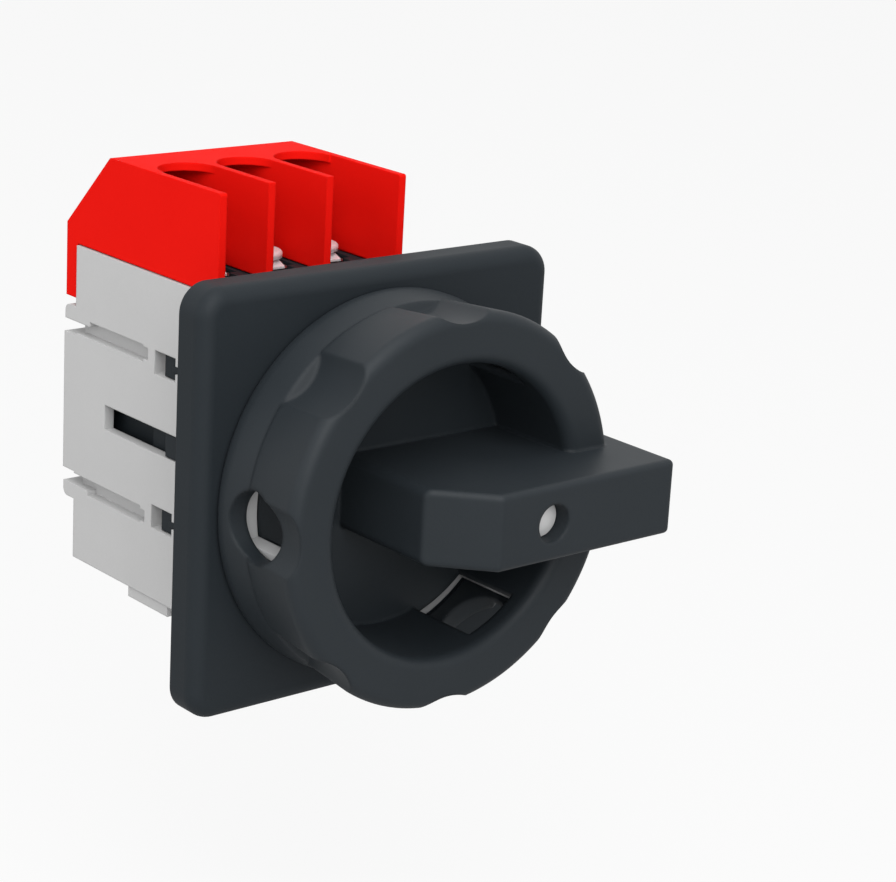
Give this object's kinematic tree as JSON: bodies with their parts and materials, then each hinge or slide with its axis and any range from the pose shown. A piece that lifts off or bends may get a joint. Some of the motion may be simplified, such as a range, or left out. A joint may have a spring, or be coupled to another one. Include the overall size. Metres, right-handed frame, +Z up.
{
  "type": "rotary switch disconnector",
  "caption": "Panel mounted rotary switch disconnector with a lobed padlockable grip, a square front plate and a removable terminal cover.",
  "frame": {"origin": "on the grip's axis, in the plane of the front plate's back face", "axes": "+X right as seen from the front, +Y from the front into the panel, +Z up"},
  "size_m": [0.068, 0.0914, 0.0765],
  "materials": {
    "black_plastic": "moulded black plastic with a fine grain",
    "red_plastic": "moulded red plastic, satin",
    "grey_plastic": "moulded light grey plastic, satin",
    "ring_plastic": "moulded grey plastic",
    "indicator_plastic": "light grey plastic, smooth",
    "seal_rubber": "soft black rubber",
    "inner_plastic": "natural moulded plastic",
    "steel": "zinc plated steel",
    "copper_strip": "stamped copper alloy with silver tips"
  },
  "bodies": {
    "switch_body": {"front_plate": "black_plastic", "plate_gasket": "seal_rubber", "plate_screws": "steel", "lock_ring": "ring_plastic", "front_housing": "black_plastic", "detent_plungers": "inner_plastic", "detent_springs": "steel", "rear_housing": "grey_plastic", "line_contact_1": "copper_strip", "line_contact_2": "copper_strip", "line_contact_3": "copper_strip", "line_clamp_1": "steel", "line_clamp_2": "steel", "line_clamp_3": "steel", "load_contact_1": "copper_strip", "load_contact_2": "copper_strip", "load_contact_3": "copper_strip", "load_clamp_1": "steel", "load_clamp_2": "steel", "load_clamp_3": "steel", "line_terminal_block": "black_plastic", "load_terminal_block": "black_plastic", "line_screws": "steel", "load_screws": "steel"},
    "handle": {"handle_grip": "black_plastic", "indicator_plug": "indicator_plastic", "hub_seal": "seal_rubber", "retaining_clip": "steel", "drive_shaft": "steel", "detent_star": "inner_plastic", "cam_drum": "inner_plastic"},
    "carrier": {"contact_carrier": "black_plastic", "follower_pins": "steel", "contact_bridge_1": "copper_strip", "contact_bridge_2": "copper_strip", "contact_bridge_3": "copper_strip", "contact_spring_1": "steel", "contact_spring_2": "steel", "contact_spring_3": "steel"},
    "cover": {"terminal_cover": "red_plastic"}
  },
  "joints": [
    {"name": "handle_turn", "type": "hinge", "parent": "switch_body", "child": "handle", "pos_m": [0, 0, 0], "axis": [0, 1, 0], "range_deg": [0, 90]},
    {"name": "carrier_slide", "type": "slide", "parent": "switch_body", "child": "carrier", "axis": [0, -1, 0], "range_m": [0, 0.005]},
    {"name": "cover_lift", "type": "slide", "parent": "switch_body", "child": "cover", "axis": [0, 0, 1], "range_m": [0, 0.03]}
  ],
  "couplings": [
    {"joint": "carrier_slide", "follows": "handle_turn", "m_per_rad": 0.003183}
  ]
}
